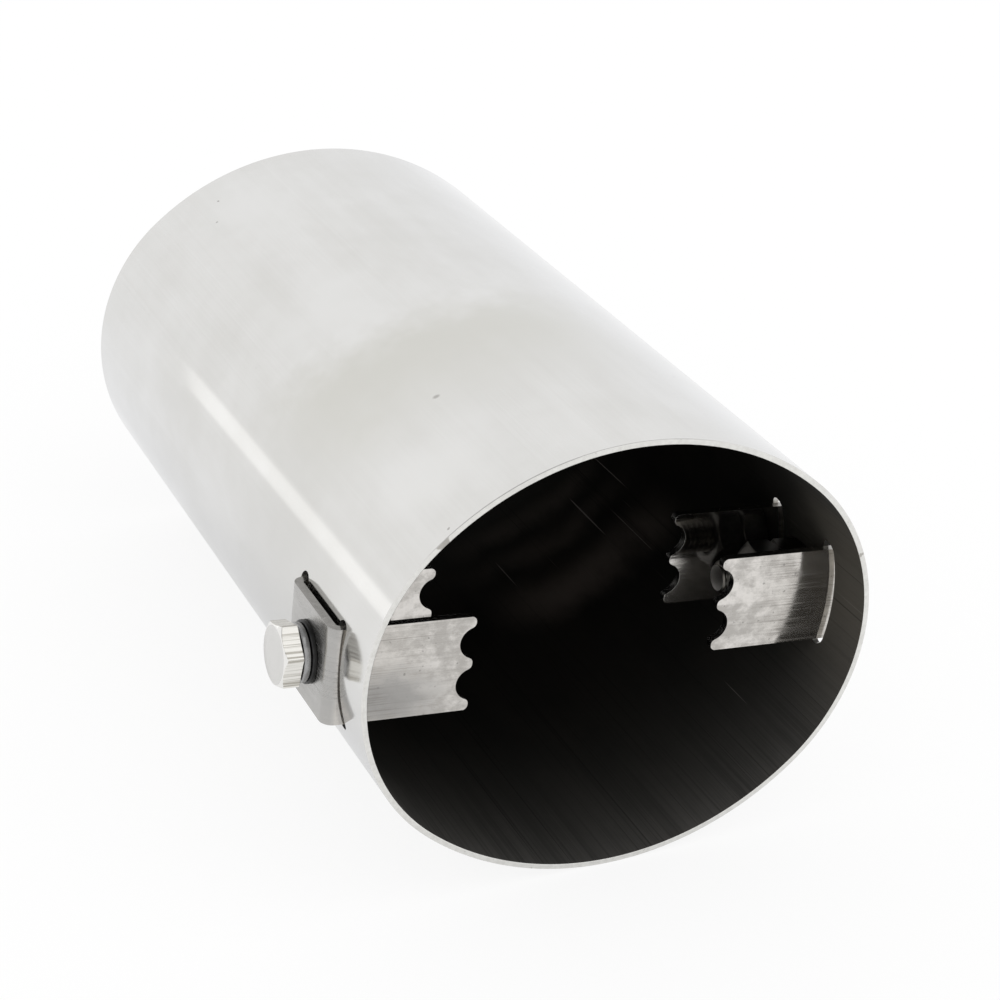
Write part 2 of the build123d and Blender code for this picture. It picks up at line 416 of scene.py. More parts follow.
def bake_modifiers(piece):
    """Replaces the piece's mesh by what its modifiers make of it."""
    scene_now = bpy.context.evaluated_depsgraph_get()
    baked = bpy.data.meshes.new_from_object(piece.evaluated_get(scene_now))
    piece.modifiers.clear()
    piece.data = baked


def skin_rows(rows, closed_rows=False, closed_ring=True):
    """Points and four-sided faces over rows of points that all have the same number of points."""
    count = len(rows[0])
    points = [p for row in rows for p in row]
    faces = []
    for i in range(len(rows) if closed_rows else len(rows) - 1):
        below, above = i * count, (i + 1) % len(rows) * count
        for j in range(count if closed_ring else count - 1):
            k = (j + 1) % count
            faces.append((below + j, below + k, above + k, above + j))
    return points, faces


print("helpers for pieces ready")

# %% [markdown]
# ## The oval tube
# The oval has four arcs that meet smoothly: two of the small end radius and two of the large one over the top
# and bottom. A point of it is found from the direction that the wall faces there, so the points crowd where
# the oval bends. The wall is a long thin rectangle with rounded corners, carried round that oval. Slots and
# holes could be left out of the grid by hand, but a Boolean cut with the true cutters is simpler and exact.

# %% The oval and the profile of the wall
TUBE_WALL = 1.0 * MM
OVAL_FLATNESS = 0.6
RIM_ROUNDING = 0.2 * MM
OVAL_STEPS = 360
RIM_STEPS = 4
WALL_ROWS = 14
SHORT_HALF, LONG_HALF = TUBE_HEIGHT / 2, TUBE_WIDTH / 2
END_RADIUS = SHORT_HALF - OVAL_FLATNESS * (LONG_HALF - SHORT_HALF)
END_CENTRE = LONG_HALF - END_RADIUS
FLAT_RADIUS = (END_CENTRE**2 + SHORT_HALF**2 - END_RADIUS**2) / (2 * (SHORT_HALF - END_RADIUS))
FLAT_CENTRE = SHORT_HALF - FLAT_RADIUS


def oval_arc(direction):
    """Centre and radius of the oval's arc that faces a direction in the XZ plane."""
    if abs(direction.z) * END_CENTRE > abs(direction.x) * -FLAT_CENTRE:
        return Vector((0, 0, AXIS_HEIGHT + math.copysign(FLAT_CENTRE, -direction.z))), FLAT_RADIUS
    return Vector((math.copysign(END_CENTRE, direction.x), 0, AXIS_HEIGHT)), END_RADIUS


def wall_profile():
    """Closed outline of the wall as pairs of depth under the outside and place along the tube."""
    low, high = -TUBE_LENGTH / 2 + RIM_ROUNDING, TUBE_LENGTH / 2 - RIM_ROUNDING
    shallow, deep = RIM_ROUNDING, TUBE_WALL - RIM_ROUNDING
    outline = []
    for start, depth, along in ((180, shallow, low), (270, deep, low), (0, deep, high), (90, shallow, high)):
        for step in range(RIM_STEPS + 1):
            angle = math.radians(start + 90 * step / RIM_STEPS)
            outline.append((depth + RIM_ROUNDING * math.cos(angle), along + RIM_ROUNDING * math.sin(angle)))
        # The two long sides of the wall follow these corners
        if start in (270, 90):
            side = outline[-1][0]
            rows = [low + (high - low) * row / WALL_ROWS for row in range(1, WALL_ROWS)]
            outline += [(side, row) for row in (rows if start == 270 else reversed(rows))]
    return outline


print("oval radii", round(END_RADIUS / MM, 2), "and", round(FLAT_RADIUS / MM, 2), "mm")

# %% [markdown]
# The cutters are the slots with round ends and the bolt's hole, each a closed prism that runs through the
# wall. One function joins all prisms of a piece to one cutter and hangs it on the piece as a Boolean. The
# strips use it again for the hole in their web.

# %% Outlines of the slots and the hole
LEG_Y = 8.75 * MM
SLOT_WIDTH = 3.3 * MM
SLOT_LENGTH = 19.4 * MM
BOLT_HOLE_RADIUS = 3.3 * MM
ROUND_STEPS = 14
HOLE_STEPS = 3 * ROUND_STEPS


def slot_outline(middle):
    """Outline with two round ends, standing up the wall, as pairs of y and z."""
    radius, reach = SLOT_WIDTH / 2, (SLOT_LENGTH - SLOT_WIDTH) / 2
    outline = []
    for start, end in ((0, reach), (180, -reach)):
        for step in range(ROUND_STEPS + 1):
            angle = math.radians(start + 180 * step / ROUND_STEPS)
            outline.append((middle + radius * math.cos(angle), end + radius * math.sin(angle)))
    return outline


def hole_outline():
    """Round outline of the bolt's hole. Half a step of turn keeps its points off the strip's grid lines."""
    angles = [2 * math.pi * (step + 0.5) / HOLE_STEPS for step in range(HOLE_STEPS)]
    return [(BOLT_HOLE_RADIUS * math.cos(a), BOLT_HOLE_RADIUS * math.sin(a)) for a in angles]


print("outlines have", len(slot_outline(LEG_Y)), "and", len(hole_outline()), "points")

# %% Make the tube and cut its slots
CUT_FROM, CUT_TO = 36.0 * MM, 47.0 * MM


def add_cut(piece, cuts, low, high):
    """Boolean that takes prisms from a piece: outlines in clamps' frames, between two places along x."""
    points, faces = [], []
    for place, outline in cuts:
        rows = [[place @ Vector((x, y, z)) for y, z in outline] for x in (low, high)]
        prism_points, prism_faces = skin_rows(rows)
        count, offset = len(outline), len(points)
        prism_faces += [tuple(reversed(range(count))), tuple(range(count, 2 * count))]
        points += prism_points
        faces += [tuple(offset + i for i in face) for face in prism_faces]
    mesh = bpy.data.meshes.new("cutter")
    mesh.from_pydata([tuple(p) for p in points], [], faces)
    mesh.update()
    cutter = bpy.data.objects.new("cutter", mesh)
    bpy.context.scene.collection.objects.link(cutter)
    cut = piece.modifiers.new("cut", "BOOLEAN")
    cut.operation, cut.solver, cut.object = "DIFFERENCE", "EXACT", cutter
    return cutter


def oval_tube():
    """The tube with its slots cut."""
    profile, rows = wall_profile(), []
    for step in range(OVAL_STEPS):
        angle = 2 * math.pi * (step + 0.5) / OVAL_STEPS
        normal = Vector((math.cos(angle), 0, math.sin(angle)))
        centre, radius = oval_arc(normal)
        rows.append([centre + (radius - depth) * normal + Vector((0, along, 0)) for depth, along in profile])
    points, faces = skin_rows(rows, closed_rows=True)
    finishes = (SATIN_OUTSIDE, DARK_BORE, CUT_EDGE)
    tube = make_piece("oval_tube", points, faces, finishes, "tube", "tube_shell")
    outlines = (slot_outline(-LEG_Y), slot_outline(LEG_Y), hole_outline())
    cuts = [(place, outline) for place in CLAMP_FRAMES.values() for outline in outlines]
    cutter = add_cut(tube, cuts, CUT_FROM, CUT_TO)
    bake_modifiers(tube)
    bpy.data.objects.remove(cutter)
    return tube


tube = oval_tube()
print("cut tube has", len(tube.data.polygons), "faces")

# %% [markdown]
# Cutting leaves long faces beside the slots, and averaged normals would smear there. The wall's true normal
# is known from the formula: it points from the nearest point of the wall's core to the surface. So each
# corner gets it directly, and the cut faces of the slots keep their own. The same test tells the three
# finishes apart.

# %% Set true normals and give each face its finish
OUTSIDE, INSIDE, EDGE = range(3)
FACES_ALIKE = 0.75


def wall_normal(point):
    """The rounded wall's normal at a point of its surface, and the oval's own normal there."""
    flat = Vector((point.x, 0, point.z - AXIS_HEIGHT))
    centre, radius = oval_arc(flat)
    # The tube's middle gives a first guess of the arc, and the guessed arc's centre settles it
    for _ in range(2):
        spoke = (Vector((point.x, 0, point.z)) - centre).normalized()
        centre, radius = oval_arc(spoke)
    depth = radius - (Vector((point.x, 0, point.z)) - centre).length
    core = TUBE_LENGTH / 2 - RIM_ROUNDING
    sink = depth - min(max(depth, RIM_ROUNDING), TUBE_WALL - RIM_ROUNDING)
    run = point.y - min(max(point.y, -core), core)
    return (run * Vector((0, 1, 0)) - sink * spoke).normalized(), spoke


def dress_tube(mesh):
    """Sets the finish of each face and the normal of each of its corners."""
    normals = []
    for face in mesh.polygons:
        true_normal, spoke = wall_normal(face.center)
        turned_out = face.normal.dot(spoke)
        face.material_index = EDGE if abs(turned_out) < FACES_ALIKE else OUTSIDE if turned_out > 0 else INSIDE
        on_wall = face.normal.dot(true_normal) > FACES_ALIKE
        for corner in face.vertices:
            normals.append(wall_normal(mesh.vertices[corner].co)[0] if on_wall else face.normal)
    mesh.normals_split_custom_set([tuple(n) for n in normals])
    return [sum(face.material_index == kind for face in mesh.polygons) for kind in (OUTSIDE, INSIDE, EDGE)]


print("faces outside, inside and on edges:", dress_tube(tube.data))

# %% [markdown]
# ## Rolled strip steel
# The clamps are cut from rolled strip. It is a smoother mirror than the tube, with streaks along the rolling
# direction, mottled grey where the scale stayed, and small dark spots. Towards the folds dark lines gather,
# and one leg has a grey smear. The inside of the U stayed cleaner than the outside, so one function makes
# both finishes and takes the amount of soil. The web between the folds is duller, and its greyer colour is a
# painted reflection of a darker part of the room. The streaks have to follow the strip round its two folds,
# so they use the place along the unfolded strip, which the mesh carries in an attribute called rolled.

# %% Finish of the clamp strips
ROLL_LINES = (35.0, 3300.0, 0.0)
ROLL_STREAKS = (70.0, 700.0, 0.0)
ROLL_WAVES = (150.0, 1500.0, 0.0)
MOTTLES = (380.0, 460.0, 0.0)
SPOTS = (1000.0, 1000.0, 0.0)
STRIP_CLOUDS = (90.0, 130.0, 0.0)
BRIGHT_STRIP, DULL_STRIP = (0.71, 0.685, 0.655), (0.45, 0.432, 0.408)
FOLD_GREY, SMEAR_GREY = (0.50, 0.475, 0.44), (0.27, 0.267, 0.26)
LINE_BROWN, SPOT_BLACK = (0.25, 0.235, 0.215), (0.15, 0.145, 0.14)
WEB_REFLECTION_DARK, WEB_REFLECTION_PALE = (0.32, 0.317, 0.31), (0.48, 0.475, 0.465)
BLANK_LENGTH = 64.4 * MM
LINED_FROM, LINED_TO = 5.0 * MM, 15.0 * MM
WEB_FROM, WEB_TO = 22.6 * MM, 23.4 * MM
SMEAR_CENTRE = Vector((BLANK_LENGTH - 14.0 * MM, -4.8 * MM, 0.0))
SMEAR_SCALE = (0.6, 1.0, 0.0)


def rolled_strip(name, soil):
    """Strip steel whose lines and smear are as strong as its soil, from 0 to 1."""
    finish, where = new_finish(name, "rolled")
    along = parts(where)[0]
    from_tip = along.least(BLANK_LENGTH - along)
    lined = band(from_tip, LINED_FROM, LINED_TO)
    web = band(from_tip, WEB_FROM, WEB_TO)
    cloud = noise(where, STRIP_CLOUDS, detail=2.0)
    lines = band(noise(where, ROLL_LINES, detail=3.0), 0.46, 0.68) * (0.15 + lined * 0.85)
    lines = lines * band(cloud, 0.38, 0.58, 0.2 * soil, soil)
    streaks = noise(where, ROLL_STREAKS, detail=3.0, rough=0.6)
    mottle = noise(where, MOTTLES, detail=5.0, rough=0.7)
    spots = band(noise(where, SPOTS, detail=1.0), 0.70, 0.76)
    dull = band(mottle * 0.45 + streaks * 0.15 + cloud * 0.4, 0.41, 0.58)
    colour = tint(dull, BRIGHT_STRIP, DULL_STRIP)
    colour = tint(lined * 0.4, colour, FOLD_GREY)
    reach = distance(where, SMEAR_CENTRE, SMEAR_SCALE) + (mottle - 0.5) * (8 * MM)
    colour = tint(spot(reach, 1.5 * MM, 7 * MM) * (0.75 * soil), colour, SMEAR_GREY)
    colour = tint(lines * 0.55, colour, LINE_BROWN)
    colour = tint(spots * 0.5, colour, SPOT_BLACK)
    # The web's greyer colour is a painted reflection of a darker part of the room.
    colour = tint(web * 0.8, colour, tint(streaks, WEB_REFLECTION_DARK, WEB_REFLECTION_PALE))
    rough = 0.07 + dull * 0.05 + lines * 0.12 + web * 0.12
    waves = noise(where, ROLL_WAVES, detail=2.0) * (1.0 - web)
    metal = 1.0 - lined * (0.04 * soil) - lines * 0.12
    normal = bump(waves, 0.03 * MM, 0.35)
    return finish.surface(Base_Color=colour, Metallic=metal, Roughness=rough, Normal=normal)


ROLLED_STRIP = rolled_strip("rolled_strip", 1.0)
CLEAN_STRIP = rolled_strip("clean_strip", 0.2)

# %% [markdown]
# The strip's sheared edges are darker and have small marks without direction. The thread, the washers and the
# nuts are such plain steel too, between other greys, so one function serves them all.

# %% Steel with small marks, first for the strip's edges
def marked_steel(name, scale, dark, light, smoothest, spread, grain=0.6):
    """Bare steel with small marks that vary between two colours and in roughness."""
    finish, where = new_finish(name)
    marks = noise(where, (scale, scale, scale), detail=3.0, rough=grain)
    colour = tint(marks, dark, light)
    return finish.surface(Base_Color=colour, Metallic=1.0, Roughness=smoothest + marks * spread)


STRIP_EDGE = marked_steel(
    "strip_edge", 1200.0, dark=(0.22, 0.212, 0.20), light=(0.45, 0.44, 0.42), smoothest=0.16, spread=0.16
)

# %% [markdown]
# ## The toothed clamp strips
# Each strip is one blank, folded twice. The blank is a grid: columns across its width and rows along its
# length, from one set of teeth to the other. The ends of the columns follow the teeth, two round scallops
# with rounded tips. Folding is then a formula for where each row goes. Solidify gives the thickness, a
# Boolean drills the bolt's hole, and Bevel softens the edges, which on real strip are never quite sharp and
# catch the light. The Boolean drops what the grid knows of its place on the blank, so that is worked out at
# the end, from where each point lies on the folded strip.

# %% Outline of the teeth
STRIP_WIDTH = 17.0 * MM
TIP_X = 22.0 * MM
TOOTH_PITCH = 7.5 * MM
SCALLOP_RADIUS = 2.9 * MM
SCALLOP_DEPTH = 2.5 * MM
TOOTH_ROUNDING = 0.95 * MM
COLUMNS = 72
CORNER_STEPS = 6


def tooth_reach(z):
    """How far the leg's end lies behind its tips, at a place across the strip."""
    corner = abs(z) - (STRIP_WIDTH / 2 - TOOTH_ROUNDING)
    if corner > 0:
        return TOOTH_ROUNDING - math.sqrt(max(TOOTH_ROUNDING**2 - corner**2, 0))
    beside = abs(abs(z) - TOOTH_PITCH / 2)
    centre = SCALLOP_DEPTH - SCALLOP_RADIUS
    rise = TOOTH_ROUNDING - centre
    span = math.sqrt((SCALLOP_RADIUS + TOOTH_ROUNDING) ** 2 - rise**2)
    if beside < span * SCALLOP_RADIUS / (SCALLOP_RADIUS + TOOTH_ROUNDING):
        return centre + math.sqrt(SCALLOP_RADIUS**2 - beside**2)
    if beside < span:
        return TOOTH_ROUNDING - math.sqrt(max(TOOTH_ROUNDING**2 - (span - beside) ** 2, 0))
    return 0.0


def column_places():
    """Places across the strip, close together at its rounded corners."""
    inner = STRIP_WIDTH / 2 - TOOTH_ROUNDING
    middle = [inner * (2 * step / COLUMNS - 1) for step in range(COLUMNS + 1)]
    angles = [math.pi / 2 * step / CORNER_STEPS for step in range(1, CORNER_STEPS + 1)]
    corner = [inner + TOOTH_ROUNDING * math.sin(angle) for angle in angles]
    return [-z for z in reversed(corner)] + middle + corner


print("deepest scallop", round(max(tooth_reach(z) for z in column_places()) / MM, 2), "mm")

# %% Rows of the folded strip, and the way back to the blank
STRIP_THICKNESS = 1.5 * MM
WEB_X = 46.05 * MM
FOLD_RADIUS = 1.35 * MM
FOLD_X, FOLD_Y = WEB_X - FOLD_RADIUS, LEG_Y - FOLD_RADIUS
LEG_ROWS, FOLD_ROWS, WEB_ROWS = 12, 8, 12


def strip_rows():
    """Rows from tip to tip. Each is a function of z that gives the row's x and y in the clamp's frame."""
    rows = []
    for row in range(LEG_ROWS):
        share = row / LEG_ROWS
        rows.append(lambda z, s=share: (FOLD_X - (FOLD_X - TIP_X - tooth_reach(z)) * (1 - s), -LEG_Y))
    for row in range(FOLD_ROWS):
        angle = math.pi / 2 * row / FOLD_ROWS
        place = (FOLD_X + FOLD_RADIUS * math.sin(angle), -FOLD_Y - FOLD_RADIUS * math.cos(angle))
        rows.append(lambda z, p=place: p)
    for row in range(WEB_ROWS // 2):
        rows.append(lambda z, y=-FOLD_Y + 2 * FOLD_Y * row / WEB_ROWS: (WEB_X, y))
    mirrored = [lambda z, r=row: (r(z)[0], -r(z)[1]) for row in reversed(rows)]
    return rows + [lambda z: (WEB_X, 0.0)] + mirrored


def unfolded(own):
    """Place along and across the blank of a point of the folded strip, given in the clamp's frame."""
    aside = abs(own.y)
    if own.x < FOLD_X:
        from_tip = own.x - TIP_X
    elif aside > FOLD_Y:
        from_tip = FOLD_X - TIP_X + FOLD_RADIUS * math.atan2(own.x - FOLD_X, aside - FOLD_Y)
    else:
        from_tip = BLANK_LENGTH / 2 - aside
    return from_tip if own.y < 0 else BLANK_LENGTH - from_tip, own.z, 0.0


print("strip has", len(strip_rows()), "rows of", len(column_places()), "points")

# %% Make a strip for each side
EDGE_SOFTNESS, EDGE_SEGMENTS, EDGE_ANGLE = 0.18 * MM, 2, math.radians(50)


def make_clamp_piece(name, side, points, faces, finishes, body, node):
    """Piece of one side's clamp, from points in the clamp's own frame."""
    placed = [CLAMP_FRAMES[side] @ p for p in points]
    return make_piece(f"{name}_{side}", placed, faces, finishes, body, f"{node}_{side}")


def keep_places(mesh, attribute, places):
    """Keeps a place for each point of the mesh in an attribute, which a finish can read."""
    kept = mesh.attributes.new(attribute, "FLOAT_VECTOR", "POINT")
    kept.data.foreach_set("vector", [value for place in places for value in place])


def clamp_strip(side):
    """Folded strip of one side, with its place along the unfolded blank kept in an attribute."""
    rows = [[Vector((*place(z), z)) for z in column_places()] for place in strip_rows()]
    points, faces = skin_rows(rows, closed_ring=False)
    finishes = (CLEAN_STRIP, STRIP_EDGE, ROLLED_STRIP)
    strip = make_clamp_piece(
        "clamp_strip", side, points, faces, finishes, f"{side}_clamp", "clamp_bracket"
    )
    thicken = strip.modifiers.new("thickness", "SOLIDIFY")
    thicken.thickness, thicken.offset, thicken.use_even_offset = STRIP_THICKNESS, 0.0, True
    thicken.material_offset_rim = finishes.index(STRIP_EDGE)
    thicken.material_offset = finishes.index(ROLLED_STRIP)
    hole = [(CLAMP_FRAMES[side], hole_outline())]
    cutter = add_cut(strip, hole, WEB_X - STRIP_THICKNESS, WEB_X + STRIP_THICKNESS)
    soften = strip.modifiers.new("soft_edges", "BEVEL")
    soften.width, soften.segments, soften.limit_method = EDGE_SOFTNESS, EDGE_SEGMENTS, "ANGLE"
    soften.angle_limit, soften.harden_normals = EDGE_ANGLE, True
    bake_modifiers(strip)
    bpy.data.objects.remove(cutter)
    to_clamp = CLAMP_FRAMES[side].inverted()
    keep_places(strip.data, "rolled", [unfolded(to_clamp @ vertex.co) for vertex in strip.data.vertices])
    print("strip is folded and drilled, with", len(strip.data.polygons), "faces")


for side in CLAMP_FRAMES:
    clamp_strip(side)

# %% [markdown]
# ## Bright plated bolts
# The bolts are turned from bar and plated, so they are the brightest and slightly warm. The bar's drawing
# marks run along the flats of the head as fine stripes, some of them darker. A wave texture would repeat
# them, so they are noise that is stretched along the bolt. The end faces and the cone were cut on a lathe, so
# fine rings go round them. The cone is smoother, and its lighter colour is a painted highlight. The thread's
# dark colour paints the shade inside the tube. Stripes and rings follow the bolt's own leaning axis, so each
# bolt keeps its own coordinates in an attribute called own_place.

# %% Finishes of the bolts
BAR_STRIPES = (40.0, 1900.0, 1900.0)
FINE_STRIPES = (60.0, 4200.0, 4200.0)
LATHE_RINGS = (2600.0, 0.0, 0.0)
LATHE_CLOUDS = (260.0, 260.0, 260.0)
AXIS, ABOUT_AXIS = (0.0, 0.0, 0.0), (0.0, 1.0, 1.0)
BRIGHT_PLATE, DULL_PLATE = (0.80, 0.785, 0.745), (0.44, 0.42, 0.375)


def plated_bolt():
    """Bright plate over drawn bar, striped along the bolt."""
    finish, where = new_finish("plated_bolt", "own_place")
    stripes = noise(where, BAR_STRIPES, detail=3.0, rough=0.6)
    fine = noise(where, FINE_STRIPES, detail=2.0)
    dull = band(stripes * 0.7 + fine * 0.3, 0.46, 0.62)
    colour = tint(dull, BRIGHT_PLATE, DULL_PLATE)
    rough = 0.10 + dull * 0.12
    normal = bump(stripes, 0.04 * MM, 0.4)
    return finish.surface(Base_Color=colour, Metallic=1.0, Roughness=rough, Normal=normal)


def turned_face(name, dark, light, smoothest):
    """Face cut on a lathe: fine rings about the bolt's axis, between two warm greys."""
    finish, where = new_finish(name, "own_place")
    radius = distance(where, AXIS, ABOUT_AXIS)
    rings = noise(finish.node("ShaderNodeCombineXYZ", None, {"X": radius}), LATHE_RINGS, detail=2.0)
    cloud = noise(where, LATHE_CLOUDS, detail=3.0)
    dark_grey, light_grey = (dark, dark * 0.99, dark * 0.96), (light, light * 0.99, light * 0.97)
    colour = tint(rings * 0.4 + cloud * 0.6, dark_grey, light_grey)
    rough = smoothest + cloud * 0.12
    normal = bump(rings, 0.01 * MM, 0.3)
    return finish.surface(Base_Color=colour, Metallic=1.0, Roughness=rough, Normal=normal)


PLATED_BOLT = plated_bolt()
TURNED_FACE = turned_face("turned_face", dark=0.60, light=0.76, smoothest=0.24)
# A lighter copy of the turned finish for the cone: a painted highlight, on a smoother surface.
LIT_TURNED_CONE = turned_face("lit_turned_cone", dark=0.74, light=0.90, smoothest=0.08)
# The thread's dark colour paints the shade inside the tube.
SHADED_THREAD = marked_steel(
    "shaded_thread", 1400.0, dark=(0.08, 0.076, 0.070), light=(0.22, 0.21, 0.19),
    smoothest=0.26, spread=0.16, grain=0.5
)

# %% [markdown]
# ## Hexagons with rounded corners
# A bolt's head and a nut are both a hexagon whose corners are turned off by a shallow cone. A prism cut by a
# cone would give that too, but with thin slivers along the curved edges. Here all rings of such a piece share
# one set of directions about the axis, with extra ones at the six corners, so the skin closes without a seam
# between the round and the hexagonal parts.

# %% Directions about the axis and the hexagon's reach in them
ACROSS_FLATS = 10.0 * MM
CORNER_ROUNDING = 0.3 * MM
FLAT_STEPS = 9
HALF_CORNER_STEPS = 2


def corner_spread():
    """Half the angle that a rounded corner takes up, seen from the axis."""
    centre = (ACROSS_FLATS / 2 - CORNER_ROUNDING) / math.cos(math.pi / 6)
    return math.atan2(CORNER_ROUNDING / 2, centre + CORNER_ROUNDING * math.cos(math.pi / 6))


def ring_directions(turn):
    """Angles about the axis, close together on each rounded corner."""
    spread, angles = corner_spread(), []
    for corner in range(6):
        start = turn + math.pi / 3 * corner
        steps = range(-HALF_CORNER_STEPS, HALF_CORNER_STEPS + 1)
        angles += [start + spread * step / HALF_CORNER_STEPS for step in steps]
        flat = math.pi / 3 - 2 * spread
        angles += [start + spread + flat * step / FLAT_STEPS for step in range(1, FLAT_STEPS)]
    return angles


def hex_reach(angle, turn):
    """Distance from the axis to the rounded hexagon, with a corner in the direction of turn."""
    away = abs((angle - turn + math.pi / 6) % (math.pi / 3) - math.pi / 6)
    if away >= corner_spread():
        return ACROSS_FLATS / 2 / math.cos(math.pi / 6 - away)
    centre = (ACROSS_FLATS / 2 - CORNER_ROUNDING) / math.cos(math.pi / 6)
    return centre * math.cos(away) + math.sqrt(CORNER_ROUNDING**2 - (centre * math.sin(away)) ** 2)


def ring(x, reach, angles):
    """Ring of points about the bolt's axis. x and reach are numbers, or functions of the angle."""
    place = [(x(a) if callable(x) else x, reach(a) if callable(reach) else reach, a) for a in angles]
    return [Vector((along, out * math.cos(a), out * math.sin(a))) for along, out, a in place]


print("corner takes", round(math.degrees(2 * corner_spread()), 2), "degrees")

# %% [markdown]
# ## Bolts with a real thread
# The thread is one ridge that winds along the shank. A bump would do from afar, but the ridge shows in the
# bolt's outline, so it is made for real. In the ring at x, the ridge passes each direction a little later
# than the one before, so the radius depends on x and the angle together. Twelve rings for each turn are
# enough to show its flanks. At the end of the bolt a cone limits the radius, and the ridge runs on up to the
# head.

# %% Shape of the thread and of a hex head
BOLT_RADIUS = 3.0 * MM
BOLT_LENGTH = 22.0 * MM
BOLT_END_X = HEAD_SEAT_X - BOLT_LENGTH
THREAD_PITCH = 1.0 * MM
THREAD_DEPTH = 0.541 * MM
HALF_CREST, FLANK = 1 / 16, 5 / 16
END_CHAMFER = 0.8 * MM
SEAT_BREAK, SEAT_BREAK_HEIGHT = 0.45 * MM, 0.28 * MM
EDGE_BREAK = 0.06 * MM
FACE_RADIUS = 0.95 * ACROSS_FLATS / 2
CHAMFER_SLOPE = math.tan(math.radians(30))


def thread_reach(x, angle):
    """Radius of the thread: a flat crest, a flat root and straight flanks between them."""
    turn = (x / THREAD_PITCH - angle / (2 * math.pi)) % 1
    from_crest = abs(turn - 0.5)
    down = min(max((from_crest - HALF_CREST) / FLANK, 0), 1)
    return min(BOLT_RADIUS - THREAD_DEPTH * down, BOLT_RADIUS - END_CHAMFER + x - BOLT_END_X)


def head_rings(seat, height, turn, angles):
    """Rings of a hex head from its seat to its end face."""
    def reach(a):
        return hex_reach(a, turn)

    def cone(a):
        return seat + height - (reach(a) - FACE_RADIUS) * CHAMFER_SLOPE

    top = seat + height
    return [
        ring(seat, lambda a: reach(a) - SEAT_BREAK, angles),
        ring(seat + SEAT_BREAK_HEIGHT, reach, angles),
        ring(lambda a: cone(a) - EDGE_BREAK, reach, angles),
        ring(lambda a: cone(a) + EDGE_BREAK * CHAMFER_SLOPE, lambda a: reach(a) - EDGE_BREAK, angles),
        ring(top - EDGE_BREAK * CHAMFER_SLOPE, FACE_RADIUS + EDGE_BREAK, angles),
        ring(top, FACE_RADIUS - EDGE_BREAK, angles),
        ring(top, FACE_RADIUS / 2, angles),
    ]


print("thread has", round(BOLT_LENGTH / THREAD_PITCH), "turns")

# %% Make the bolts
RINGS_PER_TURN = 12
HEAD_HEIGHT = 3.4 * MM
HEAD_TURN = math.radians(17)
HEX_SHARP = math.radians(28)
END_TURN, CONE_TURN = 0.95, 0.6
BOLT_FINISHES = (PLATED_BOLT, TURNED_FACE, LIT_TURNED_CONE, SHADED_THREAD)
FLAT, END_FACE, CONE, THREAD = range(len(BOLT_FINISHES))


def fan_caps(points, faces, count):
    """Closes a skin of rings at its first and last ring, with a fan about each ring's middle."""
    first, last = points[:count], points[-count:]
    for cap, offset, flip in ((first, 0, True), (last, len(points) - count, False)):
        middle = len(points)
        points.append(sum(cap, Vector()) / count)
        for j in range(count):
            a, b = offset + j, offset + (j + 1) % count
            faces.append((b, a, middle) if flip else (a, b, middle))
    return points, faces


def bolt_finish(on_head, turned):
    """Which finish a face of the bolt takes, by how far it is turned towards the axis."""
    if turned > END_TURN:
        return END_FACE
    if not on_head:
        return THREAD
    return CONE if turned > CONE_TURN else FLAT


def hex_bolt(side):
    """Threaded bolt of one side, with its head outside."""
    angles = ring_directions(HEAD_TURN)
    count = round(BOLT_LENGTH / THREAD_PITCH * RINGS_PER_TURN)
    rows = [ring(BOLT_END_X, BOLT_RADIUS / 3, angles)]
    for step in range(count + 1):
        x = BOLT_END_X + BOLT_LENGTH * step / count
        rows.append(ring(x, lambda a, x=x: thread_reach(x, a), angles))
    rows += head_rings(HEAD_SEAT_X, HEAD_HEIGHT, HEAD_TURN, angles)
    own, faces = fan_caps(*skin_rows(rows), len(angles))
    bolt = make_clamp_piece(
        "hex_bolt", side, own, faces, BOLT_FINISHES, f"{side}_bolt", "bolt"
    )
    keep_places(bolt.data, "own_place", own)
    outward = CLAMP_FRAMES[side].col[0].xyz
    for face in bolt.data.polygons:
        on_head = sum(own[corner].x for corner in face.vertices) / len(face.vertices) > HEAD_SEAT_X
        face.material_index = bolt_finish(on_head, abs(face.normal.dot(outward)))
    bolt.data.set_sharp_from_angle(angle=HEX_SHARP)


for side in CLAMP_FRAMES:
    hex_bolt(side)

# %% [markdown]
# ## Washers
# A flat washer lies on the strip and a split spring washer on that, under the head. The flat one is almost
# black, and the spring washer is grey spring steel. The flat one is a rounded section turned about the
# axis. The spring washer's section climbs a little as it goes round and stops short of a full turn, which
# leaves the split that lets it spring. A Screw modifier could turn both, but with rows of points the two ends
# at the split are easy to close.

# %% Finishes and section of the washers
WASHER_ROUNDING = 0.22 * MM
SECTION_STEPS = 4
SPRING_STEEL = marked_steel(
    "spring_steel", 900.0, dark=(0.26, 0.26, 0.26), light=(0.46, 0.46, 0.46), smoothest=0.14, spread=0.16
)
BLACK_WASHER = marked_steel(
    "black_washer", 900.0, dark=(0.02, 0.02, 0.02), light=(0.07, 0.07, 0.07), smoothest=0.30, spread=0.16
)


def washer_section(inner, outer, low, thickness):
    """Closed outline of a washer's section with rounded corners, as pairs of x and radius."""
    soft, high, outline = WASHER_ROUNDING, low + thickness, []
    corners = ((0, high - soft, outer - soft), (90, low + soft, outer - soft))
    corners += ((180, low + soft, inner + soft), (270, high - soft, inner + soft))
    for start, x, radius in corners:
        for step in range(SECTION_STEPS + 1):
            angle = math.radians(start + 90 * step / SECTION_STEPS)
            outline.append((x + soft * math.cos(angle), radius + soft * math.sin(angle)))
    return outline


def turned_section(section, angle, lift=0.0):
    """The section at an angle about the bolt's axis, lifted along it."""
    return [Vector((x + lift, r * math.cos(angle), r * math.sin(angle))) for x, r in section]


